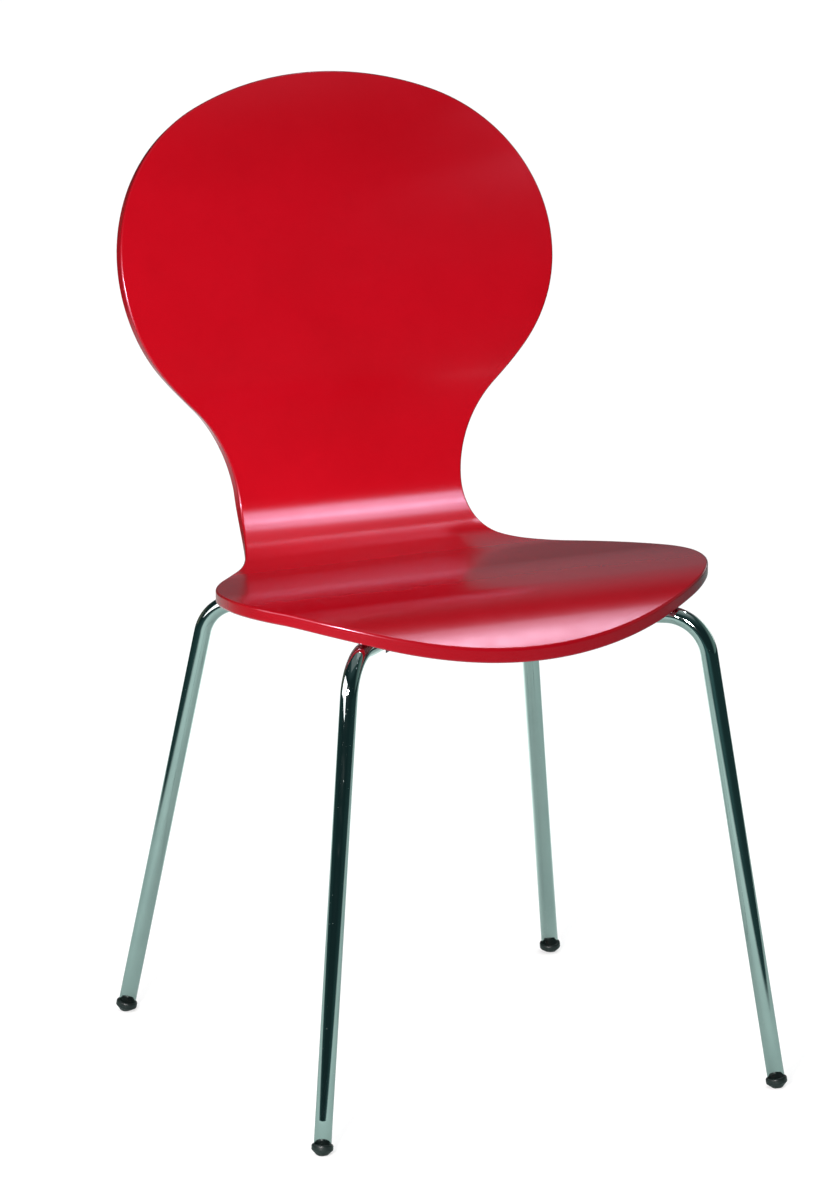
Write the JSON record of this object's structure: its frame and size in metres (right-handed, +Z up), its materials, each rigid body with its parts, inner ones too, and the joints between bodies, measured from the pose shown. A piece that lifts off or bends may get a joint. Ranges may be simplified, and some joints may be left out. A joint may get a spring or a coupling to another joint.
{
  "type": "stacking chair",
  "caption": "Stacking chair with a one-piece moulded plywood seat and back, waisted between them, on splayed bent steel tube legs with plastic glides.",
  "frame": {"origin": "on the floor, under the middle of the chair's overall box", "axes": "+Z up, the front of the seat faces -Y, +X to the right seen from the front"},
  "size_m": [0.4776, 0.557, 0.8715],
  "materials": {
    "lacquered_plywood": "satin red lacquer over moulded plywood",
    "chrome_tube": "bright chrome plate",
    "chrome_plate": "chrome plate over welded steel",
    "glide_plastic": "black moulded plastic, satin",
    "bumper_plastic": "black moulded plastic, matt",
    "zinc_steel": "zinc plated",
    "insert_brass": "turned brass"
  },
  "bodies": {
    "root": {"seat_shell": "lacquered_plywood", "leg_front_left": "chrome_tube", "leg_front_right": "chrome_tube", "leg_rear_left": "chrome_tube", "leg_rear_right": "chrome_tube", "glide_front_left": "glide_plastic", "glide_front_right": "glide_plastic", "glide_rear_left": "glide_plastic", "glide_rear_right": "glide_plastic", "mounting_plate": "chrome_plate", "hub_ring": "chrome_plate", "weld_beads": "chrome_plate", "hub_cap": "glide_plastic", "seat_spacer": "bumper_plastic", "bumper_front_left": "bumper_plastic", "bumper_front_right": "bumper_plastic", "bumper_rear_left": "bumper_plastic", "bumper_rear_right": "bumper_plastic", "seat_screws": "zinc_steel", "spring_washers": "zinc_steel", "threaded_inserts": "insert_brass"}
  },
  "joints": []
}
